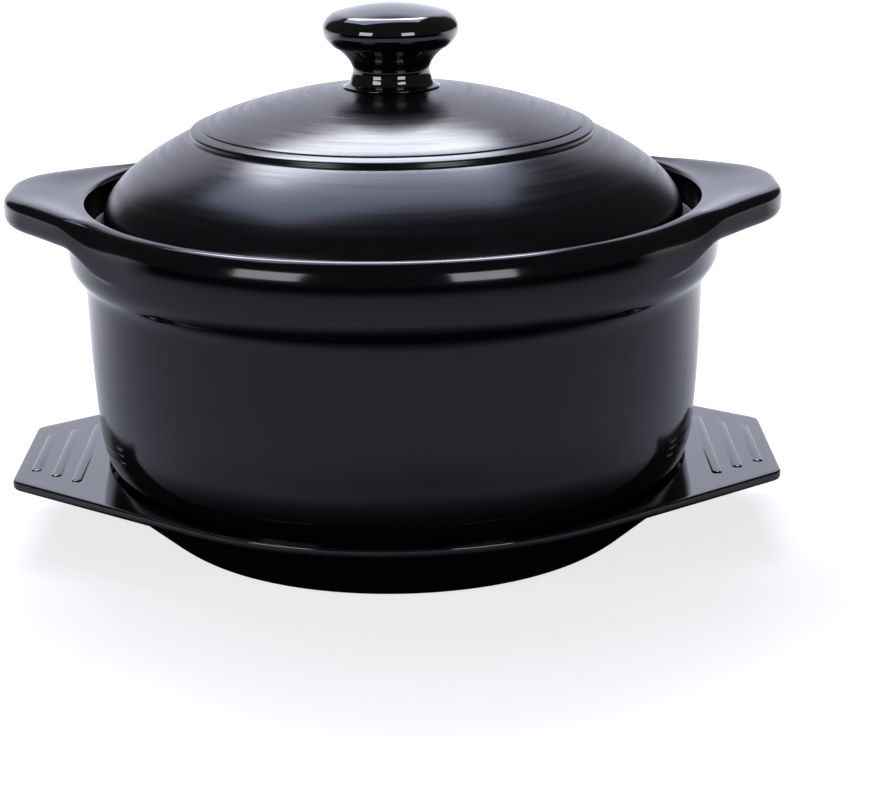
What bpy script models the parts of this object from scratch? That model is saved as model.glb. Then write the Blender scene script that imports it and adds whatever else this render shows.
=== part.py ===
# Korean stone pot: a glazed stoneware pot with two wing handles, a domed lid with a knob,
# and the moulded tray that the pot stands in.
# Metres, +Z up. The origin is on the table under the middle of the tray. X runs from wing to wing.

import math

import bmesh
import bpy
import numpy as np
from mathutils import Matrix, Vector

MM = 0.001
GAP = 0.3 * MM
AROUND = 56
AROUND_KNOB = 28
MERGE = 0.05 * MM

# Tray, heights above the table
TRAY_DISC_RADIUS = 95.0 * MM
TRAY_REACH = 117.0 * MM
WING_HALF_WIDTH = 30.6 * MM
WING_CORNER_RADIUS = 5.0 * MM
PLATE_TOP = 23.0 * MM
PLATE_THICKNESS = 3.0 * MM
PLATE_EDGE_RADIUS = 0.9 * MM
DISH_TOP_RADIUS = 91.5 * MM
DISH_TOP_HEIGHT = 18.0 * MM
DISH_TURN_RADIUS = 75.8 * MM
DISH_TURN_HEIGHT = 4.5 * MM
DISH_WALL = 2.2 * MM
RECESS_RADIUS = 89.4 * MM
RECESS_EDGE_RADIUS = 0.9 * MM
TRAY_FLOOR = 4.7 * MM
TRAY_FLOOR_RADIUS = 70.0 * MM
TRAY_FOOT_RADIUS = 67.6 * MM
TRAY_FOOT_WIDTH = 7.6 * MM
TRAY_FOOT_HEIGHT = 1.8 * MM
RIB_COUNT = 3
RIB_PITCH = 6.9 * MM
RIB_WIDTH = 3.0 * MM
RIB_HEIGHT = 0.55 * MM
RIB_EDGE_RADIUS = 0.45 * MM
RIB_FROM_END = 5.9 * MM
RIB_END_MARGIN = 12.5 * MM

# Pot, heights above its own base
POT_HEIGHT = 100.0 * MM
RIM_CREST_RADIUS = 94.6 * MM
COLLAR_RADIUS = 99.4 * MM
COLLAR_TOP = 91.0 * MM
COLLAR_BOTTOM = 84.5 * MM
UNDERCUT_RADIUS = 96.4 * MM
UNDERCUT_HEIGHT = 78.8 * MM
WALL_TOP_RADIUS = 94.25 * MM
WALL_TOP_HEIGHT = 73.0 * MM
WALL_FOOT_RADIUS = 92.3 * MM
WALL_FOOT_HEIGHT = 34.0 * MM
POT_FOOT_RADIUS = 60.0 * MM
POT_FOOT_WIDTH = 14.0 * MM
POT_FOOT_RECESS = 1.0 * MM
POT_WALL = 8.5 * MM
MOUTH_RADIUS = 84.4 * MM
SEAT_HEIGHT = 90.7 * MM
SEAT_RADIUS = 91.4 * MM
SEAT_EDGE_RADIUS = 1.2 * MM

# Wing handles, formed apart from the pot body and joined to it before firing
HANDLE_REACH = 117.4 * MM
HANDLE_HALF_WIDTH = 32.4 * MM
HANDLE_CORNER_RADIUS = 24.3 * MM
HANDLE_TIP_THICKNESS = 9.2 * MM
HANDLE_ROOT_THICKNESS = 11.0 * MM
HANDLE_ROOT_TOP = 100.1 * MM
HANDLE_RISE = 2.9 * MM
HANDLE_EDGE_RADIUS = 3.4 * MM
HANDLE_ROOT_STAND = 1.8 * MM
HANDLE_INNER_RADIUS = 97.0 * MM
HANDLE_FADE_ANGLE = math.radians(8.0)

# Lid, heights above its own lower edge
LID_RADIUS = 88.3 * MM
LID_EDGE_HEIGHT = 2.4 * MM
LID_EDGE_INNER_RADIUS = 82.6 * MM
LID_WALL = 6.0 * MM
LID_CROWN_HEIGHT = 42.2 * MM
DISC_RADIUS = 57.8 * MM
DISC_FALL = 10.8 * MM
DISC_FALL_POWER = 2.12
CREASE_RADIUS = 58.15 * MM
CREASE_HEIGHT = 30.7 * MM
BEAD_RADIUS = 60.5 * MM
BEAD_HEIGHT = 29.8 * MM
GROOVE_RADIUS = 61.0 * MM
GROOVE_HEIGHT = 28.0 * MM
SKIRT_RADIUS = 62.6 * MM
SKIRT_HEIGHT = 27.7 * MM
VENT_DIAMETER = 7.0 * MM
VENT_RADIUS = 70.5 * MM
VENT_HEIGHT = 24.3 * MM
VENT_SLOPE = math.radians(33.0)
VENT_ANGLE = math.radians(16.0)
VENT_DEPTH = 30.0 * MM
VENT_SIDES = 20

# Knob, heights above the lid's lower edge
KNOB_TOP = 66.6 * MM
KNOB_RADIUS = 20.4 * MM
KNOB_WIDEST = 58.7 * MM
KNOB_NECK_RADIUS = 12.3 * MM
KNOB_NECK = 44.6 * MM
KNOB_FOOT_RADIUS = 14.6 * MM

# Where the two parts that lift off stand
POT_STAND = TRAY_FLOOR + GAP
LID_STAND = POT_STAND + SEAT_HEIGHT + GAP


def finish(name, colour, roughness):
    made = bpy.data.materials.new(name)
    made.use_nodes = True
    shader = made.node_tree.nodes["Principled BSDF"]
    shader.inputs["Base Color"].default_value = (*colour, 1.0)
    shader.inputs["Roughness"].default_value = roughness
    shader.inputs["Metallic"].default_value = 0.0
    return made


def link(name, mesh, material=None):
    made = bpy.data.objects.new(name, mesh)
    bpy.context.scene.collection.objects.link(made)
    if material is not None:
        mesh.materials.append(material)
    return made


def cutter(made):
    made.hide_render = True
    made.display_type = "WIRE"
    return made


def combine(target, other, operation):
    modifier = target.modifiers.new(other.name, "BOOLEAN")
    modifier.operation = operation
    modifier.solver = "EXACT"
    modifier.object = other


def ellipse_arc(centre, radii, start, end, count):
    """Points on an ellipse in the plane of radius and height. Angles are in degrees from +radius."""
    angles = np.radians(np.linspace(start, end, count))
    return [(centre[0] + radii[0] * math.cos(a), centre[1] + radii[1] * math.sin(a)) for a in angles]


def bend(start, corner, end, count):
    """A curve that leaves its start towards the corner and reaches its end from there."""
    made = []
    for t in np.linspace(0.0, 1.0, count):
        first = Vector(start).lerp(Vector(corner), t)
        second = Vector(corner).lerp(Vector(end), t)
        made.append(tuple(first.lerp(second, t)))
    return made


def turned(name, profile, around, material=None):
    """A solid turned about Z. Its profile starts and ends on the axis and runs down the outer side."""
    mesh = bpy.data.meshes.new(name)
    points = [(radius, 0.0, height) for radius, height in profile]
    edges = [(i, i + 1) for i in range(len(points) - 1)]
    mesh.from_pydata(points, edges, [])
    made = link(name, mesh, material)
    screw = made.modifiers.new("turn", "SCREW")
    screw.axis = "Z"
    screw.angle = math.tau
    screw.steps = around
    screw.render_steps = around
    screw.use_merge_vertices = True
    screw.merge_threshold = MERGE
    screw.use_smooth_shade = True
    return made


def side_angle(disc_radius, corner, corner_radius):
    """Direction of the outward normal of the straight side that touches the disc and the corner."""
    spread = math.acos((disc_radius - corner_radius) / corner.length)
    return math.atan2(corner.y, corner.x) + spread


def wing_end(corner, corner_radius, normal_angle, count):
    """The two rounded corners of a wing at +X, from its -Y side round to its +Y side."""
    turn = np.linspace(0.0, normal_angle, count)
    upper = [(corner.x + corner_radius * math.cos(a), corner.y + corner_radius * math.sin(a)) for a in turn]
    lower = [(x, -y) for x, y in reversed(upper)]
    return lower + upper


def grow(shape, outline, bottom, top):
    """Adds an upright block over an outline in XY, and returns its edges."""
    floor = shape.faces.new([shape.verts.new((x, y, bottom)) for x, y in outline])
    grown = bmesh.ops.extrude_face_region(shape, geom=[floor])
    raised = [item for item in grown["geom"] if isinstance(item, bmesh.types.BMVert)]
    bmesh.ops.translate(shape, verts=raised, vec=(0.0, 0.0, top - bottom))
    edges = [edge for vert in raised for edge in vert.link_edges]
    return list(dict.fromkeys(edges + list(floor.edges)))


def level(edges):
    return [e for e in edges if abs(e.verts[0].co.z - e.verts[1].co.z) < MERGE]


def into(name, shape, material=None):
    bmesh.ops.recalc_face_normals(shape, faces=shape.faces)
    mesh = bpy.data.meshes.new(name)
    shape.to_mesh(mesh)
    shape.free()
    return link(name, mesh, material)


def prism(name, outline, bottom, top, edge_radius, segments, material):
    """An upright block with its upper and lower edges rounded."""
    shape = bmesh.new()
    edges = level(grow(shape, outline, bottom, top))
    bmesh.ops.bevel(shape, geom=edges, offset=edge_radius, segments=segments, profile=0.5, affect="EDGES")
    return into(name, shape, material)


def disc_fall(radius):
    """How far the lid's upper disc has dropped below its crown."""
    return DISC_FALL * (radius / DISC_RADIUS) ** DISC_FALL_POWER


def make_tray(material):
    corner = Vector((TRAY_REACH - WING_CORNER_RADIUS, WING_HALF_WIDTH - WING_CORNER_RADIUS))
    normal = side_angle(TRAY_DISC_RADIUS, corner, WING_CORNER_RADIUS)
    right = wing_end(corner, WING_CORNER_RADIUS, normal, 5)
    round_side = np.linspace(normal, math.pi - normal, 15)
    back = [(TRAY_DISC_RADIUS * math.cos(a), TRAY_DISC_RADIUS * math.sin(a)) for a in round_side]
    outline = right + back + [(-x, -y) for x, y in right + back]
    tray = prism("tray", outline, PLATE_TOP - PLATE_THICKNESS, PLATE_TOP, PLATE_EDGE_RADIUS, 2, material)
    combine(tray, make_bowl(), "UNION")
    combine(tray, make_recess(), "DIFFERENCE")
    combine(tray, make_ribs(normal), "UNION")
    return tray


def dish_flare():
    return (DISH_TOP_RADIUS - DISH_TURN_RADIUS) / (DISH_TOP_HEIGHT - DISH_TURN_HEIGHT)


def make_bowl():
    """The dish below the plate: a cone that rounds into a flat foot ring."""
    inside_plate = PLATE_TOP - PLATE_THICKNESS / 2
    lip = 0.8 * MM
    foot_inner = TRAY_FOOT_RADIUS - TRAY_FOOT_WIDTH
    turn_corner = (DISH_TURN_RADIUS - DISH_TURN_HEIGHT * dish_flare(), 0.0)
    profile = [(0.0, inside_plate), (DISH_TOP_RADIUS, inside_plate)]
    profile += [(DISH_TOP_RADIUS, DISH_TOP_HEIGHT + lip), (DISH_TOP_RADIUS - lip / 2, DISH_TOP_HEIGHT)]
    profile += bend((DISH_TURN_RADIUS, DISH_TURN_HEIGHT), turn_corner, (TRAY_FOOT_RADIUS, 0.0), 5)
    profile += [(foot_inner, 0.0), (foot_inner - TRAY_FOOT_HEIGHT, TRAY_FOOT_HEIGHT), (0.0, TRAY_FOOT_HEIGHT)]
    return cutter(turned("tray_bowl", profile, AROUND))


def make_recess():
    """The recess that holds the pot's foot, parallel to the cone outside."""
    over = PLATE_TOP + PLATE_THICKNESS
    edge = RECESS_EDGE_RADIUS
    wall_top = PLATE_TOP - PLATE_THICKNESS - edge
    across = DISH_WALL * math.hypot(1.0, dish_flare())
    low = 2 * DISH_TURN_HEIGHT
    low_radius = DISH_TOP_RADIUS - across - dish_flare() * (DISH_TOP_HEIGHT - low)
    mouth = (RECESS_RADIUS + edge, PLATE_TOP)
    slope_corner = (low_radius + across * 2, wall_top - across)
    profile = [(0.0, over), (mouth[0], over)]
    profile += bend(mouth, (RECESS_RADIUS, PLATE_TOP), (RECESS_RADIUS, PLATE_TOP - edge), 4)
    profile += bend((RECESS_RADIUS, wall_top), slope_corner, (low_radius, low), 5)
    turn_corner = (low_radius - dish_flare() * (low - TRAY_FLOOR), TRAY_FLOOR)
    profile += bend((low_radius, low), turn_corner, (TRAY_FLOOR_RADIUS, TRAY_FLOOR), 4)[1:]
    profile.append((0.0, TRAY_FLOOR))
    return cutter(turned("tray_recess", profile, AROUND))


def make_ribs(normal):
    """Three grip ribs on each wing, longer towards the pot. Their ends follow the wing's sides."""
    shape = bmesh.new()
    for side in (-1.0, 1.0):
        for index in range(RIB_COUNT):
            middle = TRAY_REACH - RIB_FROM_END - index * RIB_PITCH
            outline = []
            for x, ends in ((middle + RIB_WIDTH / 2, (-1.0, 1.0)), (middle - RIB_WIDTH / 2, (1.0, -1.0))):
                wing_side = (TRAY_DISC_RADIUS - x * math.cos(normal)) / math.sin(normal)
                outline += [(side * x, end * (wing_side - RIB_END_MARGIN)) for end in ends]
            edges = grow(shape, outline, PLATE_TOP - RIB_HEIGHT, PLATE_TOP + RIB_HEIGHT)
            rounding = {"offset": RIB_EDGE_RADIUS, "segments": 2, "profile": 0.5, "affect": "EDGES"}
            bmesh.ops.bevel(shape, geom=edges, **rounding)
    return cutter(into("tray_ribs", shape))


def pot_outside():
    """The pot's outer side from the crest of its rim down to the middle of its base."""
    rim = bend((RIM_CREST_RADIUS, POT_HEIGHT), (COLLAR_RADIUS, POT_HEIGHT), (COLLAR_RADIUS, COLLAR_TOP), 6)
    collar_foot = (COLLAR_RADIUS - 0.3 * MM, COLLAR_BOTTOM)
    undercut = (UNDERCUT_RADIUS, UNDERCUT_HEIGHT)
    wall_top = (WALL_TOP_RADIUS, WALL_TOP_HEIGHT)
    rounded = bend(collar_foot, (COLLAR_RADIUS - 0.6 * MM, UNDERCUT_HEIGHT + 2.7 * MM), undercut, 4)
    crease = bend(undercut, (WALL_TOP_RADIUS + 0.3 * MM, UNDERCUT_HEIGHT - 2.0 * MM), wall_top, 4)[1:]
    bowl_radii = (WALL_FOOT_RADIUS - POT_FOOT_RADIUS, WALL_FOOT_HEIGHT)
    bowl = ellipse_arc((POT_FOOT_RADIUS, WALL_FOOT_HEIGHT), bowl_radii, 0.0, -90.0, 9)
    foot_inner = POT_FOOT_RADIUS - POT_FOOT_WIDTH
    base = [(foot_inner, 0.0), (foot_inner - POT_FOOT_RECESS, POT_FOOT_RECESS), (0.0, POT_FOOT_RECESS)]
    return rim + rounded + crease + bowl + base


def pot_inside():
    """The pot's inner side from the middle of its floor up to the crest of its rim."""
    wall_radius = WALL_FOOT_RADIUS - POT_WALL
    bowl_centre = (POT_FOOT_RADIUS - 2.0 * MM, WALL_FOOT_HEIGHT + 2.0 * MM)
    bowl_radii = (wall_radius - bowl_centre[0], bowl_centre[1] - POT_WALL)
    bowl = ellipse_arc(bowl_centre, bowl_radii, -90.0, 0.0, 8)
    edge = SEAT_EDGE_RADIUS
    mouth = bend(
        (MOUTH_RADIUS, SEAT_HEIGHT - edge), (MOUTH_RADIUS, SEAT_HEIGHT), (MOUTH_RADIUS + edge, SEAT_HEIGHT), 3
    )
    seat = [(SEAT_RADIUS - edge / 2, SEAT_HEIGHT), (SEAT_RADIUS, SEAT_HEIGHT + edge / 2)]
    shoulder = (SEAT_RADIUS + 0.2 * MM, POT_HEIGHT - 3.0 * MM)
    rim = bend(shoulder, (SEAT_RADIUS + 0.4 * MM, POT_HEIGHT), (RIM_CREST_RADIUS, POT_HEIGHT), 5)[:-1]
    return [(0.0, POT_WALL)] + bowl + mouth + seat + rim


def make_handle(name, side, body_profile, material):
    """One wing handle. It is cut to the collar that it is joined to, a joint's width clear of it."""
    disc = COLLAR_RADIUS + HANDLE_ROOT_STAND
    corner = Vector((HANDLE_REACH - HANDLE_CORNER_RADIUS, HANDLE_HALF_WIDTH - HANDLE_CORNER_RADIUS))
    normal = side_angle(disc, corner, HANDLE_CORNER_RADIUS)
    tip = wing_end(corner, HANDLE_CORNER_RADIUS, normal, 7)
    sunk = COLLAR_RADIUS - HANDLE_ROOT_STAND
    inner = COLLAR_RADIUS - HANDLE_TIP_THICKNESS
    root_end = normal + HANDLE_FADE_ANGLE
    upper = [(disc * math.cos(normal), disc * math.sin(normal))]
    upper.append((sunk * math.cos(root_end), sunk * math.sin(root_end)))
    root = [(inner * math.cos(a), inner * math.sin(a)) for a in np.linspace(root_end, -root_end, 9)]
    outline = tip + upper + root + [(x, -y) for x, y in reversed(upper)]
    bottom = HANDLE_ROOT_TOP - HANDLE_TIP_THICKNESS
    handle = prism(name, outline, bottom, HANDLE_ROOT_TOP, HANDLE_EDGE_RADIUS, 3, material)

    # The top rises towards the tip and the underside drops towards the root
    middle = (bottom + HANDLE_ROOT_TOP) / 2
    root_x = upper[-1][0]
    for vertex in handle.data.vertices:
        along = (vertex.co.x - root_x) / (HANDLE_REACH - root_x)
        vertex.co.z += HANDLE_RISE * along
        if vertex.co.z < middle:
            vertex.co.z -= (HANDLE_ROOT_THICKNESS - HANDLE_TIP_THICKNESS) * (1.0 - along)
    handle.rotation_euler.z = 0.0 if side > 0 else math.pi

    over = POT_HEIGHT + HANDLE_TIP_THICKNESS
    joint = [(radius + GAP, height + GAP) for radius, height in body_profile if radius > HANDLE_INNER_RADIUS]
    joint = [(0.0, over), (joint[0][0], over)] + joint + [(0.0, joint[-1][1])]
    room = cutter(turned(name + "_joint", joint, AROUND))
    combine(handle, room, "DIFFERENCE")
    return handle, room


def lid_outside():
    """The lid's outer side, from its crown over the crease, bead and groove to its lower edge."""
    disc = [(r, LID_CROWN_HEIGHT - disc_fall(r)) for r in np.linspace(0.0, DISC_RADIUS, 8)]
    crease = (CREASE_RADIUS, CREASE_HEIGHT)
    bead = bend(crease, (BEAD_RADIUS - 0.9 * MM, CREASE_HEIGHT - 0.2 * MM), (BEAD_RADIUS, BEAD_HEIGHT), 3)
    groove = (GROOVE_RADIUS, GROOVE_HEIGHT)
    turn_corner = (LID_RADIUS + 0.8 * MM, LID_EDGE_HEIGHT + 12.6 * MM)
    skirt = bend((SKIRT_RADIUS, SKIRT_HEIGHT), turn_corner, (LID_RADIUS, LID_EDGE_HEIGHT), 9)
    edge = bend(skirt[-1], (LID_RADIUS, 0.0), (LID_RADIUS - 1.2 * MM, 0.0), 3)[1:]
    return disc + bead + [groove] + skirt + edge


def lid_inside():
    """The lid's hollow underside, from its lower edge up to the middle."""
    top = LID_CROWN_HEIGHT - LID_WALL
    shoulder = (DISC_RADIUS, top - disc_fall(DISC_RADIUS) - 1.0 * MM)
    corner = (LID_EDGE_INNER_RADIUS - 2.0 * MM, shoulder[1] / 2 - 2.3 * MM)
    disc = [(r, top - disc_fall(r)) for r in np.linspace(DISC_RADIUS * 0.84, 0.0, 5)]
    return bend((LID_EDGE_INNER_RADIUS, 0.0), corner, shoulder, 7) + disc


def knob_profile():
    """The knob from the top of its cap to its foot, which follows the lid's crown."""
    shoulder = (KNOB_RADIUS - 3.1 * MM, KNOB_WIDEST + 5.3 * MM)
    under = (KNOB_RADIUS - 2.4 * MM, KNOB_WIDEST - 3.9 * MM)
    cap = bend((0.0, KNOB_TOP), (KNOB_RADIUS - 11.9 * MM, KNOB_TOP - 0.1 * MM), shoulder, 5)
    edge = bend(shoulder, (KNOB_RADIUS + 0.8 * MM, KNOB_WIDEST + 3.6 * MM), (KNOB_RADIUS, KNOB_WIDEST), 4)[1:]
    below = bend(edge[-1], (KNOB_RADIUS - 0.1 * MM, KNOB_WIDEST - 1.7 * MM), under, 3)[1:]
    neck = (KNOB_NECK_RADIUS, KNOB_NECK)
    throat = bend(under, (KNOB_NECK_RADIUS - 2.2 * MM, KNOB_NECK + 5.1 * MM), neck, 6)[1:]
    foot_top = (KNOB_FOOT_RADIUS - 0.2 * MM, LID_CROWN_HEIGHT)
    foot = bend(neck, (KNOB_NECK_RADIUS + 0.1 * MM, KNOB_NECK - 1.8 * MM), foot_top, 3)[1:]
    sole = [(r, LID_CROWN_HEIGHT - disc_fall(r) + GAP) for r in np.linspace(KNOB_FOOT_RADIUS, 0.0, 4)]
    return cap + edge + below + throat + foot + sole


def make_lid(material):
    lid = turned("lid", lid_outside() + lid_inside(), AROUND, material)
    shape = bmesh.new()
    across = VENT_DIAMETER / 2
    bmesh.ops.create_cone(
        shape, cap_ends=True, segments=VENT_SIDES, radius1=across, radius2=across, depth=VENT_DEPTH
    )
    tilt = Matrix.Rotation(VENT_SLOPE, 4, "Y")
    out = Matrix.Translation((VENT_RADIUS, 0.0, VENT_HEIGHT))
    turn = Matrix.Rotation(VENT_ANGLE, 4, "Z")
    bmesh.ops.transform(shape, matrix=turn @ out @ tilt, verts=shape.verts)
    vent = cutter(into("lid_vent", shape))
    combine(lid, vent, "DIFFERENCE")
    return lid, vent


def empty(name, height):
    made = bpy.data.objects.new(name, None)
    bpy.context.scene.collection.objects.link(made)
    made.location = (0.0, 0.0, height)
    return made


def stand_on(parent, pieces):
    for piece in pieces:
        piece.parent = parent


for old in list(bpy.data.objects):
    bpy.data.objects.remove(old, do_unlink=True)

glaze = finish("black_glaze", (0.012, 0.012, 0.014), 0.22)
knob_glaze = finish("glossy_black_glaze", (0.008, 0.008, 0.009), 0.08)
melamine = finish("black_melamine", (0.01, 0.01, 0.012), 0.12)

make_tray(melamine)

pot_lift = empty("pot_lift", POT_STAND)
outside = pot_outside()
pot_body = turned("pot_body", pot_inside() + outside, AROUND, glaze)
stand_on(pot_lift, [pot_body])
for handle_name, handle_side in (("left_handle", -1.0), ("right_handle", 1.0)):
    stand_on(pot_lift, make_handle(handle_name, handle_side, outside, glaze))

lid_lift = empty("lid_lift", LID_STAND)
stand_on(lid_lift, make_lid(glaze))
knob = turned("lid_knob", knob_profile(), AROUND_KNOB, knob_glaze)
stand_on(lid_lift, [knob])
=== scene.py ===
import math
import bpy
from mathutils import Matrix, Vector
from mathutils.kdtree import KDTree


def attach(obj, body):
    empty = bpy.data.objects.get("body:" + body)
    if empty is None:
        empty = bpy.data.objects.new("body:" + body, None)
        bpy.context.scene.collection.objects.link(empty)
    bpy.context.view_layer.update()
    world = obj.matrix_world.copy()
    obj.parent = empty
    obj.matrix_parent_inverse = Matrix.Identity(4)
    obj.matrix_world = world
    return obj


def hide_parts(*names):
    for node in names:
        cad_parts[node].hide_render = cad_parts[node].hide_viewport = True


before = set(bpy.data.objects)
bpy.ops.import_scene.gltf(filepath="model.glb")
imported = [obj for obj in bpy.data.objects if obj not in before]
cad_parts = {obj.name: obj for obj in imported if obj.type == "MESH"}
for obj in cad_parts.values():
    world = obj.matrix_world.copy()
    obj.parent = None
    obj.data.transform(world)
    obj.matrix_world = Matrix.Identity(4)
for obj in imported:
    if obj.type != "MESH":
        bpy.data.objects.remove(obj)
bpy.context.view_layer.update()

mm = 0.001
sameSpot = 0.01 * mm     # points closer than this are one point


# Working by hand in edit mode

def putToolsDown():
    if bpy.context.object is not None and bpy.context.object.mode != "OBJECT":
        bpy.ops.object.mode_set(mode="OBJECT")
    bpy.ops.object.select_all(action="DESELECT")


def pickUp(piece):
    putToolsDown()
    piece.select_set(True)
    bpy.context.view_layer.objects.active = piece


def bend(start, corner, end, count):
    # leaves the start towards the corner and arrives at the end from it
    made = []
    for step in range(count):
        t = step / (count - 1)
        first = Vector(start).lerp(Vector(corner), t)
        second = Vector(corner).lerp(Vector(end), t)
        made.append(tuple(first.lerp(second, t)))
    return made


def straight(start, end, count):
    return [tuple(Vector(start).lerp(Vector(end), step / (count - 1))) for step in range(count)]


def smoothStep(t):
    t = min(max(t, 0.0), 1.0)
    return t * t * (3 - 2 * t)


def flow(start, end, count):
    # leaves level, rises or falls on the way, and arrives level
    made = []
    for step in range(count):
        t = step / (count - 1)
        made.append((start[0] + (end[0] - start[0]) * t, start[1] + (end[1] - start[1]) * smoothStep(t)))
    return made


def ellipse(centre, radii, fromAngle, toAngle, count):
    made = []
    for step in range(count):
        a = math.radians(fromAngle + (toAngle - fromAngle) * step / (count - 1))
        made.append((centre[0] + radii[0] * math.cos(a), centre[1] + radii[1] * math.sin(a)))
    return made


def chain(*runs):
    # joins runs of a profile, leaving out a point that repeats the one before it
    made = []
    for run in runs:
        for point in run:
            if not made or (Vector(point) - Vector(made[-1])).length > 0.02:
                made.append(point)
    return made


def throwOnWheel(name, profile, turns):
    # a profile in mm, drawn point by point from one vertex and spun about the upright axis
    putToolsDown()
    bpy.ops.mesh.primitive_plane_add(size=mm, location=(0, 0, 0))
    piece = bpy.context.object
    piece.name = name
    piece.data.name = name
    bpy.ops.object.mode_set(mode="EDIT")
    bpy.ops.mesh.select_all(action="SELECT")
    bpy.ops.mesh.merge(type="CENTER")
    bpy.ops.transform.translate(value=(profile[0][0] * mm, 0, profile[0][1] * mm))
    for here, there in zip(profile, profile[1:]):
        move = ((there[0] - here[0]) * mm, 0, (there[1] - here[1]) * mm)
        bpy.ops.mesh.extrude_region_move(TRANSFORM_OT_translate={"value": move})
    bpy.ops.mesh.select_all(action="SELECT")
    bpy.ops.mesh.spin(steps=turns, angle=2 * math.pi, center=(0, 0, 0), axis=(0, 0, 1))
    bpy.ops.mesh.select_all(action="SELECT")
    bpy.ops.mesh.remove_doubles(threshold=sameSpot)
    bpy.ops.mesh.normals_make_consistent(inside=False)
    bpy.ops.object.mode_set(mode="OBJECT")
    bpy.ops.object.shade_smooth()
    return piece


def planOf(plan):
    # a quarter of the outline seen from above: end, rounded corner, slanting side, round
    corner = Vector((plan["reach"] - plan["cornerRadius"], plan["halfWidth"] - plan["cornerRadius"]))
    normal = math.atan2(corner.y, corner.x)
    normal += math.acos((plan["round"] - plan["cornerRadius"]) / corner.length)
    side = Vector((math.cos(normal), math.sin(normal)))
    cornerEnd = corner + side * plan["cornerRadius"]
    roundStart = side * plan["round"]
    quarter = straight((plan["reach"], 0), (plan["reach"], corner.y), plan["points"][0])
    quarter += ellipse(corner, (plan["cornerRadius"],) * 2, 0, math.degrees(normal), plan["points"][1])[1:]
    quarter += straight(cornerEnd, roundStart, plan["points"][2])[1:]
    quarter += ellipse((0, 0), (plan["round"],) * 2, math.degrees(normal), 90, plan["points"][3])[1:]
    half = quarter + [(-x, y) for x, y in reversed(quarter[:-1])]
    return half + [(x, -y) for x, y in reversed(half[1:-1])], normal


def mix(plain, pressed, share):
    return tuple(a + (b - a) * share for a, b in zip(plain, pressed))


def pressOut(piece, profile, outline, sectionAt):
    # moves each spun ring of points out to the outline, with the section that belongs there
    places = KDTree(len(profile))
    for index, (radius, height) in enumerate(profile):
        places.insert((radius * mm, 0, height * mm), index)
    places.balance()
    sections = [sectionAt(math.hypot(x, y)) for x, y in outline]
    angles = [math.atan2(y, x) for x, y in outline]
    for point in piece.data.vertices:
        radius = math.hypot(point.co.x, point.co.y)
        index = places.find((radius, 0, point.co.z))[1]
        if radius < sameSpot:
            continue
        turn = round(math.atan2(point.co.y, point.co.x) / (2 * math.pi) * len(outline)) % len(outline)
        across, height = sections[turn][index]
        point.co = (across * mm * math.cos(angles[turn]), across * mm * math.sin(angles[turn]), height * mm)
    piece.data.update()


def combine(piece, tool, operation):
    # cuts the tool out of the piece or grows it on, and uses the tool up
    pickUp(piece)
    change = piece.modifiers.new(tool.name, "BOOLEAN")
    change.operation = operation
    change.solver = "EXACT"
    change.object = tool
    bpy.ops.object.modifier_apply(modifier=change.name)
    bpy.data.objects.remove(tool, do_unlink=True)


def settle(piece, height):
    # lifts the piece to where it stands, and puts the place in its mesh
    pickUp(piece)
    piece.location.z = height * mm
    bpy.ops.object.transform_apply(location=True, rotation=True, scale=True)


# Pot with its two wing handles

pot = {
    "stand": 5.0,                  # height of its base over the table
    "crest": 94.5, "crestHeight": 100.6, "collar": 99.4, "collarTop": 91.0, "collarBottom": 84.5,
    "undercut": (96.4, 78.8), "wallTop": (94.25, 73.0), "wallMiddle": (93.7, 56.0), "wallFoot": (92.3, 34.0),
    "foot": 60.0, "footWidth": 14.0, "footRecess": 1.0,
    "wall": 8.5, "mouth": 84.4, "mouthRounding": 1.6, "seat": 90.7, "seatWall": 93.2, "rimRounding": 1.9,
}
# the wings rise from the crest's height towards their tips, and their underside meets the collar in a fillet
wing = {
    "tipRise": 2.4, "riseCurve": 1.8, "thickness": 9.3, "rounding": 3.6, "edgeFairing": 6.0,
    "underFairing": 5.0, "rootShare": 0.42, "root": 4.6, "rootHeight": 92.5,
}
handlePlan = {
    "round": 99.4, "reach": 117.9, "halfWidth": 34.4, "cornerRadius": 29.0, "points": (6, 24, 40, 36),
}


def collarSection(reach):
    # from the rim's crest over the shoulder, or over the wing where it reaches out, and back to the collar
    collar = pot["collar"]
    out = max(reach - collar, 0.0)
    reach = collar + out
    span = handlePlan["reach"] - collar
    top = pot["crestHeight"] + wing["tipRise"] * (1 - max(1 - out / span, 0.0) ** wing["riseCurve"])
    under = top - wing["thickness"]
    rounding = wing["rounding"]
    root = min(wing["rootShare"] * out, wing["root"])
    edging = smoothStep(out / wing["edgeFairing"])
    belly = smoothStep(out / wing["underFairing"])
    topEnd = mix((pot["crest"] + 0.5, top), (reach - 3.4, top), edging)
    edgeEnd = mix((reach, pot["collarTop"]), (reach, top - rounding), edging)
    sideEnd = mix((reach, 89.6), (reach, top - 5.0), edging)
    # the underside runs in almost level and turns down into the collar with a fillet
    underTurn = mix((reach, 88.3), (reach, under), belly)
    underStart = mix((reach - 0.08, 87.0), (reach - min(rounding, 0.6 * out), under), belly)
    underEnd = mix((collar + root - 0.13, 86.2), (collar + root, wing["rootHeight"]), belly)
    fillet = mix((collar - 0.16, 85.9), (collar, wing["rootHeight"] - 0.4), belly)
    landing = mix((collar - 0.18, 85.6), (collar - 0.08, 87.0), belly)
    section = flow((pot["crest"], pot["crestHeight"]), topEnd, 12)
    section += bend(topEnd, (reach, topEnd[1]), edgeEnd, 13)[1:]
    section += straight(edgeEnd, sideEnd, 3)[1:]
    section += bend(sideEnd, underTurn, underStart, 9)[1:]
    section += straight(underStart, underEnd, 9)[1:]
    section += bend(underEnd, fillet, landing, 9)[1:]
    section += straight(landing, (collar - 0.3, pot["collarBottom"]), 4)[1:]
    return section


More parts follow.
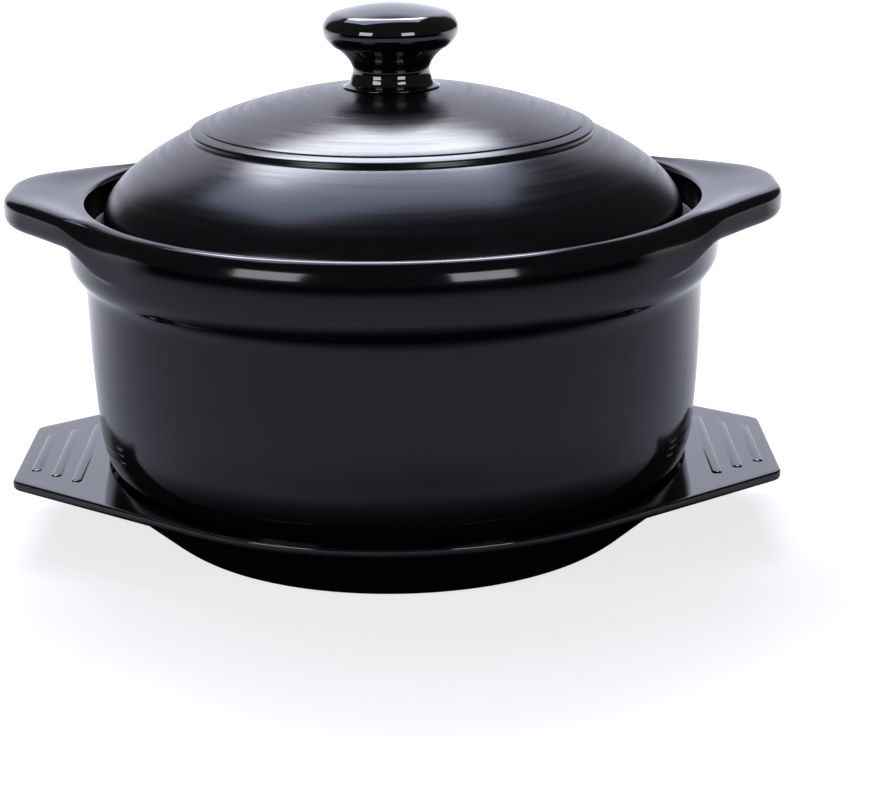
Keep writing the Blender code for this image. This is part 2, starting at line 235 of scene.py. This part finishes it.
def potInside():
    wallRadius = pot["wallFoot"][0] - pot["wall"]
    centre = (pot["foot"] - 2.0, pot["wallFoot"][1] + 2.0)
    floor = straight((0, pot["wall"]), (centre[0], pot["wall"]), 8)
    bowl = ellipse(centre, (wallRadius - centre[0], centre[1] - pot["wall"]), -90, 0, 18)
    rounding = pot["mouthRounding"]
    side = straight(bowl[-1], (pot["mouth"], pot["seat"] - rounding), 12)
    mouth = bend(side[-1], (pot["mouth"], pot["seat"]), (pot["mouth"] + rounding, pot["seat"]), 6)
    seat = straight(mouth[-1], (pot["seatWall"] - 1.0, pot["seat"]), 3)
    corner = bend(seat[-1], (pot["seatWall"], pot["seat"]), (pot["seatWall"], pot["seat"] + 1.2), 5)
    rimFoot = (pot["seatWall"] + 0.2, pot["crestHeight"] - pot["rimRounding"])
    rim = bend(rimFoot, (pot["seatWall"] + 0.3, pot["crestHeight"]), (pot["crest"], pot["crestHeight"]), 9)
    return chain(floor, bowl, side, mouth, seat, corner, straight(corner[-1], rimFoot, 4), rim)[:-1]


def potOutside():
    collarFoot = (pot["collar"] - 0.3, pot["collarBottom"])
    rounded = bend(collarFoot, (pot["collar"] - 0.6, pot["undercut"][1] + 2.7), pot["undercut"], 8)
    crease = bend(pot["undercut"], (pot["wallTop"][0] + 0.3, pot["undercut"][1] - 2.0), pot["wallTop"], 8)
    middle = pot["wallMiddle"]
    side = straight(pot["wallTop"], middle, 8)
    sideDown = bend(middle, (middle[0] - 0.5, middle[1] - 12.0), pot["wallFoot"], 10)
    foot, low = pot["foot"], pot["wallFoot"]
    bowl = ellipse((foot, low[1]), (low[0] - foot, low[1]), 0, -90, 26)
    footIn = pot["foot"] - pot["footWidth"]
    base = [(footIn, 0.0), (footIn - pot["footRecess"], pot["footRecess"]), (0.0, pot["footRecess"])]
    return chain(rounded, crease, side, sideDown, bowl, base)[1:]


def makePot():
    outline = planOf(handlePlan)[0]
    inside, outside = potInside(), potOutside()
    profile = inside + collarSection(pot["collar"]) + outside
    piece = throwOnWheel("stonewarePot", profile, len(outline))
    pressOut(piece, profile, outline, lambda reach: inside + collarSection(reach) + outside)
    settle(piece, pot["stand"])
    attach(piece, "pot")
    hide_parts("pot_body", "left_handle", "right_handle")
    return piece


# Lid

lid = {
    "stand": 96.0, "edge": 88.3, "edgeHeight": 2.4, "edgeInner": 82.6, "wall": 6.0,
    "crown": 42.2, "disc": 57.8, "discFall": 11.0, "fallPower": 2.12, "crease": (58.15, 30.72),
    "bead": (60.9, 29.77), "groove": (61.3, 27.95), "skirt": (62.7, 27.65), "skirtCorner": (89.2, 15.0),
    "ventDiameter": 7.0, "ventRadius": 70.5, "ventHeight": 23.7, "ventSlope": 30.0, "ventAngle": 16.0,
    "ventLip": 0.8, "drillLength": 30.0, "sharpest": 35.0,
}


def discHeight(radius):
    return lid["crown"] - lid["discFall"] * (radius / lid["disc"]) ** lid["fallPower"]


def lidProfile():
    disc = [(lid["disc"] * step / 40, discHeight(lid["disc"] * step / 40)) for step in range(41)]
    valley, bead, groove, shoulder = lid["crease"], lid["bead"], lid["groove"], lid["skirt"]
    crease = bend(disc[-1], (valley[0] - 0.1, disc[-1][1] - 0.1), (valley[0] - 0.03, valley[1] + 0.16), 5)
    creaseFoot = bend(crease[-1], valley, (valley[0] + 0.2, valley[1] + 0.04), 5)
    beadTop = bend(creaseFoot[-1], (bead[0] - 1.2, bead[1] + 0.53), bead, 11)
    beadEdge = bend(bead, (bead[0] + 0.25, bead[1] - 0.18), (bead[0] + 0.32, bead[1] - 0.6), 6)
    notch = bend((groove[0] - 0.05, groove[1] + 0.45), groove, (groove[0] + 0.4, groove[1] + 0.03), 5)
    rise = bend(notch[-1], (shoulder[0] - 0.7, shoulder[1] + 0.3), shoulder, 6)
    skirt = bend(shoulder, lid["skirtCorner"], (lid["edge"], lid["edgeHeight"]), 44)
    edge = bend(skirt[-1], (lid["edge"], 0), (lid["edge"] - 1.4, 0), 6)
    top = lid["crown"] - lid["wall"]
    inner = (lid["disc"], top - lid["discFall"] - 1.0)
    under = bend((lid["edgeInner"], 0), (lid["edgeInner"] - 2.0, inner[1] / 2 - 2.3), inner, 24)
    ceiling = bend(inner, (lid["disc"] * 0.6, top - 2.0), (0.0, top), 20)
    return chain(disc, crease, creaseFoot, beadTop, beadEdge, notch, rise, skirt, edge, under, ceiling)


def makeLid():
    piece = throwOnWheel("domedLid", lidProfile(), 192)
    # the steam vent is drilled square to the skirt, and its drill widens to a soft lip
    bore, lip, half = lid["ventDiameter"] / 2, lid["ventLip"], lid["drillLength"] / 2
    flare = bend((bore, -lip), (bore, 0), (bore + lip, 0.15), 8)
    shank = straight((bore, -half), flare[0], 3)[:-1]
    drill = throwOnWheel("drill", [(0, -half)] + shank + flare + [(bore + lip, half), (0, half)], 40)
    slope = Matrix.Rotation(math.radians(lid["ventSlope"]), 4, "Y")
    out = Matrix.Translation((lid["ventRadius"] * mm, 0, lid["ventHeight"] * mm))
    drill.matrix_world = Matrix.Rotation(math.radians(lid["ventAngle"]), 4, "Z") @ out @ slope
    combine(piece, drill, "DIFFERENCE")
    bpy.ops.object.shade_smooth_by_angle(angle=math.radians(lid["sharpest"]))
    settle(piece, lid["stand"])
    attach(piece, "lid")
    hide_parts("lid")
    return piece


# Knob

knob = {
    "top": 66.6, "capCorner": 8.5, "shoulder": (17.3, 63.9), "edgeCorner": (21.0, 61.7),
    "widest": (20.4, 58.1), "under": (18.1, 54.4), "throatCorner": (10.0, 49.6), "neck": (12.3, 44.5),
    "foot": 14.7,
}


def knobProfile():
    cap = bend((0, knob["top"]), (knob["capCorner"], knob["top"] - 0.1), knob["shoulder"], 26)
    edge = bend(knob["shoulder"], knob["edgeCorner"], knob["widest"], 12)
    below = bend(knob["widest"], (knob["widest"][0] - 0.1, 56.6), knob["under"], 10)
    throat = bend(knob["under"], knob["throatCorner"], knob["neck"], 18)
    footEnd = (knob["foot"], discHeight(knob["foot"]) + 0.3)
    foot = bend(knob["neck"], (knob["neck"][0] + 0.1, 42.7), footEnd, 9)
    sole = [(r, discHeight(r) + 0.25) for r in (knob["foot"] - 0.3, knob["foot"] * 0.5, 0.0)]
    return chain(cap, edge, below, throat, foot, sole)


def makeKnob():
    piece = throwOnWheel("lidKnob", knobProfile(), 128)
    settle(piece, lid["stand"])
    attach(piece, "lid")
    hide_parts("lid_knob")
    return piece


# Tray

tray = {
    "plateTop": 23.0, "plate": 3.0, "lip": 0.7,
    "dish": 91.5, "dishTop": 18.0, "dishTurn": (75.8, 4.5), "foot": 67.6, "footWidth": 7.6, "footHeight": 1.8,
    "recess": 89.4, "recessEdge": 0.9, "floor": 4.7, "floorRadius": 70.0, "wall": 2.2,
    "ribs": 3, "ribPitch": 6.9, "ribWidth": 3.4, "ribHeight": 0.5, "ribSunk": 0.25,
    "ribFromEnd": 5.9, "ribMargin": 12.5, "sharpest": 40.0,
}
trayPlan = {"round": 95.0, "reach": 117.0, "halfWidth": 30.6, "cornerRadius": 5.0, "points": (18, 10, 34, 40)}


def traySection(reach):
    top, low, lip = tray["plateTop"], tray["plateTop"] - tray["plate"], tray["lip"]
    flare = (tray["dish"] - tray["dishTurn"][0]) / (tray["dishTop"] - tray["dishTurn"][1])
    across = tray["wall"] * math.hypot(1, flare)
    bowlLow = (tray["dish"] - across - flare * (tray["dishTop"] - 9.0), 9.0)
    floor = straight((0, tray["floor"]), (tray["floorRadius"], tray["floor"]), 6)
    turnCorner = (bowlLow[0] - flare * (bowlLow[1] - tray["floor"]), tray["floor"])
    floorTurn = bend(floor[-1], turnCorner, bowlLow, 8)[1:]
    recess, rounding = tray["recess"], tray["recessEdge"]
    wallTop = (recess, low - 1.0)
    side = bend(bowlLow, (bowlLow[0] + across * 2, wallTop[1] - across), wallTop, 12)[1:]
    mouth = bend((recess, top - rounding), (recess, top), (recess + rounding, top), 7)
    plate = straight(mouth[-1], (reach - lip, top), 12)[1:]
    edge = bend(plate[-1], (reach, top), (reach, top - lip), 6)[1:]
    edgeLow = bend((reach, low + 2 * lip), (reach, low), (reach - 2 * lip, low), 8)
    dish, dishTop, dishTurn = tray["dish"], tray["dishTop"], tray["dishTurn"]
    coneTop = (dish + flare * 0.8, dishTop + 0.8)
    under = straight(edgeLow[-1], (dish + 1.95, low), 3)[1:]
    turn = bend(under[-1], (dish + 1.75, low), coneTop, 6)[1:]
    cone = straight(turn[-1], dishTurn, 8)[1:]
    coneTurn = bend(cone[-1], (dishTurn[0] - flare * dishTurn[1], 0), (tray["foot"], 0), 12)[1:]
    footIn = tray["foot"] - tray["footWidth"]
    base = [(footIn, 0), (footIn - tray["footHeight"], tray["footHeight"]), (0, tray["footHeight"])]
    inside = floor + floorTurn + side + mouth
    return inside + plate + edge + edgeLow + under + turn + cone + coneTurn + base


def makeRib(side, index, normal):
    # a rounded bar, sunk into the wing and cut off parallel to the wing's sides
    width = tray["ribWidth"]
    middle = trayPlan["reach"] - tray["ribFromEnd"] - index * tray["ribPitch"]
    half = (trayPlan["round"] - middle * math.cos(normal)) / math.sin(normal) - tray["ribMargin"]
    putToolsDown()
    bpy.ops.mesh.primitive_cube_add(size=1, location=(side * middle * mm, 0, 0))
    rib = bpy.context.object
    rib.name = "rib"
    rib.scale = (width * mm, 2 * half * mm, width * mm)
    bpy.ops.object.transform_apply(location=True, rotation=True, scale=True)
    slant = math.tan(math.pi / 2 - normal)
    for point in rib.data.vertices:
        point.co.y -= math.copysign((abs(point.co.x) - middle * mm) * slant, point.co.y)
    soften = rib.modifiers.new("soften", "BEVEL")
    soften.width = 0.46 * width * mm
    soften.segments = 8
    bpy.ops.object.modifier_apply(modifier=soften.name)
    rib.scale.z = 2 * (tray["ribHeight"] + tray["ribSunk"]) / width
    rib.location.z = (tray["plateTop"] - tray["ribSunk"]) * mm
    bpy.ops.object.transform_apply(location=True, rotation=True, scale=True)
    return rib


def makeTray():
    outline, normal = planOf(trayPlan)
    profile = traySection(trayPlan["round"])
    piece = throwOnWheel("mouldedTray", profile, len(outline))
    pressOut(piece, profile, outline, traySection)
    for side in (-1, 1):
        for index in range(tray["ribs"]):
            combine(piece, makeRib(side, index, normal), "UNION")
    pickUp(piece)
    bpy.ops.object.shade_smooth_by_angle(angle=math.radians(tray["sharpest"]))
    settle(piece, 0)
    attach(piece, "tray")
    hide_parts("tray")
    return piece


potPiece = makePot()
print("pot thrown and its wings pressed out:", len(potPiece.data.polygons), "faces")
lidPiece = makeLid()
print("lid thrown and drilled:", len(lidPiece.data.polygons), "faces")
knobPiece = makeKnob()
print("knob thrown:", len(knobPiece.data.polygons), "faces")
trayPiece = makeTray()
print("tray moulded:", len(trayPiece.data.polygons), "faces")


# Finishes

def fromHex(code):
    # sRGB hex to the linear values that shaders take
    made = []
    for place in (0, 2, 4):
        value = int(code[place:place + 2], 16) / 255
        made.append(value / 12.92 if value <= 0.04045 else ((value + 0.055) / 1.055) ** 2.4)
    return (*made, 1.0)


def addNode(tree, kind, settings=None, links=None):
    # a setting or link is named, or numbered where sockets share a name
    made = tree.nodes.new(kind)
    for key, value in (settings or {}).items():
        if isinstance(key, str) and hasattr(made, key):
            setattr(made, key, value)
        else:
            made.inputs[key].default_value = value
    for key, socket in (links or {}).items():
        tree.links.new(socket, made.inputs[key])
    return made


def startMaterial(name):
    made = bpy.data.materials.new(name)
    made.use_nodes = True
    return made, made.node_tree, made.node_tree.nodes["Principled BSDF"]


potGlaze = {
    "thick": "040405", "thin": "0b0b0f", "mottle": 9.0,
    "climb": 1.0, "lane": 2.4, "drift": 1.2, "fine": 3.0, "markDepth": 0.008, "peel": 3.0, "peelDepth": 0.003,
    "rough": (0.08, 0.13), "ior": 1.5, "coat": 0.0, "coatRough": 0.1,
}
lidGlaze = {
    "thick": "050507", "thin": "0e0e13", "mottle": 7.0,
    "climb": 0.0, "lane": 1.9, "drift": 1.3, "fine": 2.0, "markDepth": 0.006, "peel": 2.5, "peelDepth": 0.001,
    "rough": (0.18, 0.28), "ior": 1.5, "coat": 0.0, "coatRough": 0.1,
}
knobGlaze = {
    "thick": "040405", "thin": "08080b", "mottle": 6.0,
    "climb": 1.0, "lane": 2.2, "drift": 1.0, "fine": 2.0, "markDepth": 0.004, "peel": 4.0, "peelDepth": 0.006,
    "rough": (0.04, 0.07), "ior": 1.7, "coat": 0.5, "coatRough": 0.03,
}


def thrownGlaze(name, glaze):
    # Black glaze on thrown stoneware. The fingers' marks run round the piece under the glaze and draw
    # a highlight out into fine streaks, while the glassy skin over them keeps its edges readable.
    made, tree, shader = startMaterial(name)
    place = addNode(tree, "ShaderNodeTexCoord").outputs["Object"]
    level = {"operation": "MULTIPLY", 1: (1, 1, 0)}
    flat = addNode(tree, "ShaderNodeVectorMath", level, {0: place}).outputs[0]
    radius = addNode(tree, "ShaderNodeVectorMath", {"operation": "LENGTH"}, {0: flat}).outputs["Value"]
    height = addNode(tree, "ShaderNodeSeparateXYZ", {}, {0: place}).outputs["Z"]
    climb = {"operation": "MULTIPLY_ADD", 1: glaze["climb"]}
    along = addNode(tree, "ShaderNodeMath", climb, {0: height, 2: radius}).outputs[0]
    width = {"operation": "DIVIDE", 1: glaze["lane"] * mm}
    lane = addNode(tree, "ShaderNodeMath", width, {0: along}).outputs[0]
    heading = addNode(tree, "ShaderNodeVectorMath", {"operation": "NORMALIZE"}, {0: flat}).outputs[0]
    drift = {"operation": "SCALE", "Scale": glaze["drift"]}
    around = addNode(tree, "ShaderNodeVectorMath", drift, {0: heading}).outputs[0]
    inward = addNode(tree, "ShaderNodeCombineXYZ", {}, {"Z": lane}).outputs[0]
    spot = addNode(tree, "ShaderNodeVectorMath", {"operation": "ADD"}, {0: around, 1: inward}).outputs[0]
    fingers = {"Scale": 1.0, "Detail": glaze["fine"], "Roughness": 0.6}
    marks = addNode(tree, "ShaderNodeTexNoise", fingers, {"Vector": spot}).outputs[0]
    orange = {"Scale": 1 / (glaze["peel"] * mm), "Detail": 1.0}
    peel = addNode(tree, "ShaderNodeTexNoise", orange, {"Vector": place}).outputs[0]
    pools = {"Scale": 1 / (glaze["mottle"] * mm), "Detail": 4.0}
    mottle = addNode(tree, "ShaderNodeTexNoise", pools, {"Vector": place}).outputs[0]
    spread = {"From Min": 0.3, "From Max": 0.7, "To Min": glaze["rough"][0], "To Max": glaze["rough"][1]}
    rough = addNode(tree, "ShaderNodeMapRange", spread, {"Value": marks}).outputs[0]
    colours = {"data_type": "RGBA", 6: fromHex(glaze["thick"]), 7: fromHex(glaze["thin"])}
    colour = addNode(tree, "ShaderNodeMix", colours, {0: mottle}).outputs[2]
    peelBump = {"Distance": glaze["peelDepth"] * mm}
    skin = addNode(tree, "ShaderNodeBump", peelBump, {"Height": peel}).outputs[0]
    markBump = {"Distance": glaze["markDepth"] * mm}
    marked = addNode(tree, "ShaderNodeBump", markBump, {"Height": marks, "Normal": skin}).outputs[0]
    sources = {"Base Color": colour, "Roughness": rough, "Normal": marked, "Coat Normal": skin}
    for socket, source in sources.items():
        tree.links.new(source, shader.inputs[socket])
    shader.inputs["IOR"].default_value = glaze["ior"]
    shader.inputs["Coat Weight"].default_value = glaze["coat"]
    shader.inputs["Coat Roughness"].default_value = glaze["coatRough"]
    return made


melamine = {
    "colour": "050506", "worn": "0a0a0d", "haze": 14.0, "ripple": 11.0, "rippleDepth": 0.006,
    "rough": (0.05, 0.10), "ior": 1.58, "coat": 0.3, "coatRough": 0.05,
}


def mouldedMelamine(name):
    # Black melamine pressed in a polished steel mould. It mirrors what stands on it, with a slow ripple.
    made, tree, shader = startMaterial(name)
    place = addNode(tree, "ShaderNodeTexCoord").outputs["Object"]
    waves = {"Scale": 1 / (melamine["ripple"] * mm), "Detail": 1.0}
    ripple = addNode(tree, "ShaderNodeTexNoise", waves, {"Vector": place}).outputs[0]
    clouds = {"Scale": 1 / (melamine["haze"] * mm), "Detail": 5.0}
    haze = addNode(tree, "ShaderNodeTexNoise", clouds, {"Vector": place}).outputs[0]
    gloss = {"To Min": melamine["rough"][0], "To Max": melamine["rough"][1]}
    spread = {"From Min": 0.35, "From Max": 0.7}
    rough = addNode(tree, "ShaderNodeMapRange", {**spread, **gloss}, {"Value": haze}).outputs[0]
    colours = {"data_type": "RGBA", 6: fromHex(melamine["colour"]), 7: fromHex(melamine["worn"])}
    colour = addNode(tree, "ShaderNodeMix", colours, {0: haze}).outputs[2]
    rippleBump = {"Distance": melamine["rippleDepth"] * mm}
    skin = addNode(tree, "ShaderNodeBump", rippleBump, {"Height": ripple}).outputs[0]
    sources = {"Base Color": colour, "Roughness": rough, "Normal": skin}
    for socket, source in sources.items():
        tree.links.new(source, shader.inputs[socket])
    shader.inputs["IOR"].default_value = melamine["ior"]
    shader.inputs["Coat Weight"].default_value = melamine["coat"]
    shader.inputs["Coat Roughness"].default_value = melamine["coatRough"]
    return made


potPiece.data.materials.append(thrownGlaze("thrownStonewareGlaze", potGlaze))
lidPiece.data.materials.append(thrownGlaze("wheelMarkedStonewareGlaze", lidGlaze))
knobPiece.data.materials.append(thrownGlaze("glassyStonewareGlaze", knobGlaze))
trayPiece.data.materials.append(mouldedMelamine("mouldedMelamine"))
print("four finishes mixed")


# Floor, light and camera

studio = {
    "turn": 0.7, "cameraAway": 751.3, "cameraHigh": 154.0, "rim": 105.0,
    "yaw": 0.993, "pitch": 16.35, "roll": -0.70, "lens": 2500 / 877 * 36,
    "floorSize": 8.0, "floorColour": "b4b4b6", "tablePast": "101012", "tableEdge": (0.45, 0.75),
    "frontHalf": (0.1, -0.1), "backHalf": (0.0, 0.4),
    # near the pot the table's colour in the glaze is a painted shadow of the pot's foot
    "paintedShadowNear": "1c1c1e", "mirrorFar": "c4c4c6", "paintedShadowReach": (0.095, 0.175), "glow": 0.76,
    "backdrop": "e9eaff", "backdropLevel": 1.25, "backdropLean": 0.10, "backdropWidth": 1.6,
    "backdropSides": (-0.15, 0.25), "backdropHead": (0.66, 0.52), "fill": 0.06,
}
# direction seen from the pot in degrees, 0 behind it and minus to the left; size and distance in m;
# a radiance of 1 is white
lamps = {
    "softbox": {
        "azimuth": -15, "elevation": 67, "away": 1.4, "size": (1.40, 0.90),
        "radiance": 3.2, "colour": "d2daff",
    },
    "softboxHeart": {
        "azimuth": -7, "elevation": 52.5, "away": 1.35, "size": (0.86, 0.36),
        "radiance": 12.0, "colour": "f6f7ff",
    },
    "windowLeft": {
        "azimuth": -138, "elevation": 14, "away": 1.5, "size": (0.60, 0.50),
        "radiance": 5.6, "colour": "f4f4ff",
    },
    "windowRight": {
        "azimuth": 150, "elevation": 13, "away": 1.5, "size": (0.56, 0.48),
        "radiance": 5.6, "colour": "f4f4ff",
    },
}


def placeCamera():
    turn = math.radians(studio["turn"])
    data = bpy.data.cameras.new("camera")
    camera = bpy.data.objects.new("camera", data)
    bpy.context.scene.collection.objects.link(camera)
    data.lens = studio["lens"]
    data.sensor_width = 36
    data.clip_start = 0.05
    away = studio["cameraAway"] * mm
    high = (studio["rim"] + studio["cameraHigh"]) * mm
    camera.location = (away * math.sin(turn), -away * math.cos(turn), high)
    yaw = math.radians(studio["yaw"]) - turn
    pitch = math.radians(studio["pitch"])
    roll = math.radians(studio["roll"])
    forward = Vector((math.sin(yaw) * math.cos(pitch), math.cos(yaw) * math.cos(pitch), -math.sin(pitch)))
    right = Vector((math.cos(yaw), -math.sin(yaw), 0))
    up = right.cross(forward)
    turnedRight = right * math.cos(roll) + up * math.sin(roll)
    turnedUp = up * math.cos(roll) - right * math.sin(roll)
    camera.rotation_mode = "QUATERNION"
    camera.rotation_quaternion = Matrix((turnedRight, turnedUp, -forward)).transposed().to_quaternion()
    bpy.context.scene.camera = camera


def hangLamp(name, lamp):
    data = bpy.data.lights.new(name, "AREA")
    data.shape = "RECTANGLE"
    data.size, data.size_y = lamp["size"]
    data.energy = lamp["radiance"] * math.pi * lamp["size"][0] * lamp["size"][1]
    data.color = fromHex(lamp["colour"])[:3]
    azimuth, elevation = math.radians(lamp["azimuth"]), math.radians(lamp["elevation"])
    level = math.cos(elevation)
    toLamp = Vector((math.sin(azimuth) * level, math.cos(azimuth) * level, math.sin(elevation)))
    shade = bpy.data.objects.new(name, data)
    bpy.context.scene.collection.objects.link(shade)
    shade.location = Vector((0, 0, studio["rim"] * mm)) + toLamp * lamp["away"]
    shade.rotation_mode = "QUATERNION"
    shade.rotation_quaternion = (-toLamp).to_track_quat("-Z", "Y")
    shade.visible_camera = False


def whoSees(tree, mask):
    # 1 where the camera looks, and where a gloss or glass shows the background behind the pot
    path = addNode(tree, "ShaderNodeLightPath").outputs
    rays = {0: path["Is Glossy Ray"], 1: path["Is Transmission Ray"]}
    bounced = addNode(tree, "ShaderNodeMath", {"operation": "ADD"}, rays).outputs[0]
    mirrored = addNode(tree, "ShaderNodeMath", {"operation": "MULTIPLY"}, {0: bounced, 1: mask}).outputs[0]
    return path["Is Camera Ray"], mirrored


def layFloor():
    # Pale table top that ends in front of the pot, so that the room beyond it stays dim in the glaze.
    # Its glow keeps it white to the camera past the lamps' reach, and leaves the pot's shadow on it.
    putToolsDown()
    bpy.ops.mesh.primitive_plane_add(size=studio["floorSize"], location=(0, 0, 0))
    floor = bpy.context.object
    floor.name = "floor"
    made, tree, shader = startMaterial("paleFloor")
    shader.inputs["Roughness"].default_value = 0.9
    shader.inputs["Specular IOR Level"].default_value = 0.0
    shader.inputs["Emission Color"].default_value = fromHex("ffffff")
    place = addNode(tree, "ShaderNodeTexCoord").outputs["Object"]
    away = addNode(tree, "ShaderNodeVectorMath", {"operation": "LENGTH"}, {0: place}).outputs["Value"]
    depth = addNode(tree, "ShaderNodeSeparateXYZ", {}, {0: place}).outputs["Y"]
    soft = {"interpolation_type": "SMOOTHSTEP"}

    # painted shadow: in the glaze the table is painted dark close to the pot, standing in for the shade of
    # the pot's foot
    reach = {"From Min": studio["paintedShadowReach"][0], "From Max": studio["paintedShadowReach"][1]}
    out = addNode(tree, "ShaderNodeMapRange", {**soft, **reach}, {"Value": away}).outputs[0]
    shades = {"data_type": "RGBA", 6: fromHex(studio["paintedShadowNear"]), 7: fromHex(studio["mirrorFar"])}
    shaded = addNode(tree, "ShaderNodeMix", shades, {0: out}).outputs[2]
    glossy = addNode(tree, "ShaderNodeLightPath").outputs["Is Glossy Ray"]
    plain = {"data_type": "RGBA", 6: fromHex(studio["floorColour"])}
    table = addNode(tree, "ShaderNodeMix", plain, {0: glossy, 7: shaded}).outputs[2]

    front = {"From Min": studio["frontHalf"][0], "From Max": studio["frontHalf"][1]}
    inFront = addNode(tree, "ShaderNodeMapRange", {**soft, **front}, {"Value": depth}).outputs[0]
    edge = {"From Min": studio["tableEdge"][0], "From Max": studio["tableEdge"][1]}
    beyond = addNode(tree, "ShaderNodeMapRange", {**soft, **edge}, {"Value": away}).outputs[0]
    past = addNode(tree, "ShaderNodeMath", {"operation": "MULTIPLY"}, {0: beyond, 1: inFront}).outputs[0]
    ends = {"data_type": "RGBA", 7: fromHex(studio["tablePast"])}
    colour = addNode(tree, "ShaderNodeMix", ends, {0: past, 6: table}).outputs[2]
    tree.links.new(colour, shader.inputs["Base Color"])

    glow = {"operation": "ADD", "use_clamp": True, 1: studio["glow"]}
    level = addNode(tree, "ShaderNodeMath", glow, {0: beyond}).outputs[0]
    behind = {"From Min": studio["backHalf"][0], "From Max": studio["backHalf"][1]}
    mask = addNode(tree, "ShaderNodeMapRange", {**soft, **behind}, {"Value": depth}).outputs[0]
    direct, mirrored = whoSees(tree, mask)
    seen = addNode(tree, "ShaderNodeMath", {"operation": "ADD"}, {0: direct, 1: mirrored}).outputs[0]
    shown = addNode(tree, "ShaderNodeMath", {"operation": "MULTIPLY"}, {0: level, 1: seen}).outputs[0]
    tree.links.new(shown, shader.inputs["Emission Strength"])
    floor.data.materials.append(made)


def paintRoom():
    # white backdrop behind the pot, dim room elsewhere; the camera itself sees white all round
    world = bpy.data.worlds.new("studio")
    bpy.context.scene.world = world
    world.use_nodes = True
    tree = world.node_tree
    ray = addNode(tree, "ShaderNodeTexCoord").outputs["Generated"]
    axes = addNode(tree, "ShaderNodeSeparateXYZ", {}, {0: ray}).outputs
    lean = {"operation": "ADD", 1: studio["backdropLean"]}
    leaning = addNode(tree, "ShaderNodeMath", lean, {0: axes["X"]}).outputs[0]
    sideways = addNode(tree, "ShaderNodeMath", {"operation": "ABSOLUTE"}, {0: leaning}).outputs[0]
    narrow = {"operation": "MULTIPLY_ADD", 1: -studio["backdropWidth"]}
    inside = addNode(tree, "ShaderNodeMath", narrow, {0: sideways, 2: axes["Y"]}).outputs[0]
    soft = {"interpolation_type": "SMOOTHSTEP"}
    sides = {"From Min": studio["backdropSides"][0], "From Max": studio["backdropSides"][1]}
    across = addNode(tree, "ShaderNodeMapRange", {**soft, **sides}, {"Value": inside}).outputs[0]
    head = {"From Min": studio["backdropHead"][0], "From Max": studio["backdropHead"][1]}
    upTo = addNode(tree, "ShaderNodeMapRange", {**soft, **head}, {"Value": axes["Z"]}).outputs[0]
    backdrop = addNode(tree, "ShaderNodeMath", {"operation": "MULTIPLY"}, {0: across, 1: upTo}).outputs[0]
    direct, mirrored = whoSees(tree, backdrop)
    bright = [part * studio["backdropLevel"] for part in fromHex(studio["backdrop"])[:3]]
    room = {"data_type": "RGBA", 6: (studio["fill"],) * 3 + (1,), 7: (*bright, 1)}
    gloss = addNode(tree, "ShaderNodeMix", room, {0: mirrored}).outputs[2]
    white = {"data_type": "RGBA", 7: fromHex("ffffff")}
    colour = addNode(tree, "ShaderNodeMix", white, {0: direct, 6: gloss}).outputs[2]
    tree.links.new(colour, tree.nodes["Background"].inputs["Color"])


placeCamera()
for name, lamp in lamps.items():
    hangLamp(name, lamp)
layFloor()
paintRoom()
bpy.context.scene.view_settings.view_transform = "Standard"
print("camera placed, lamps hung")
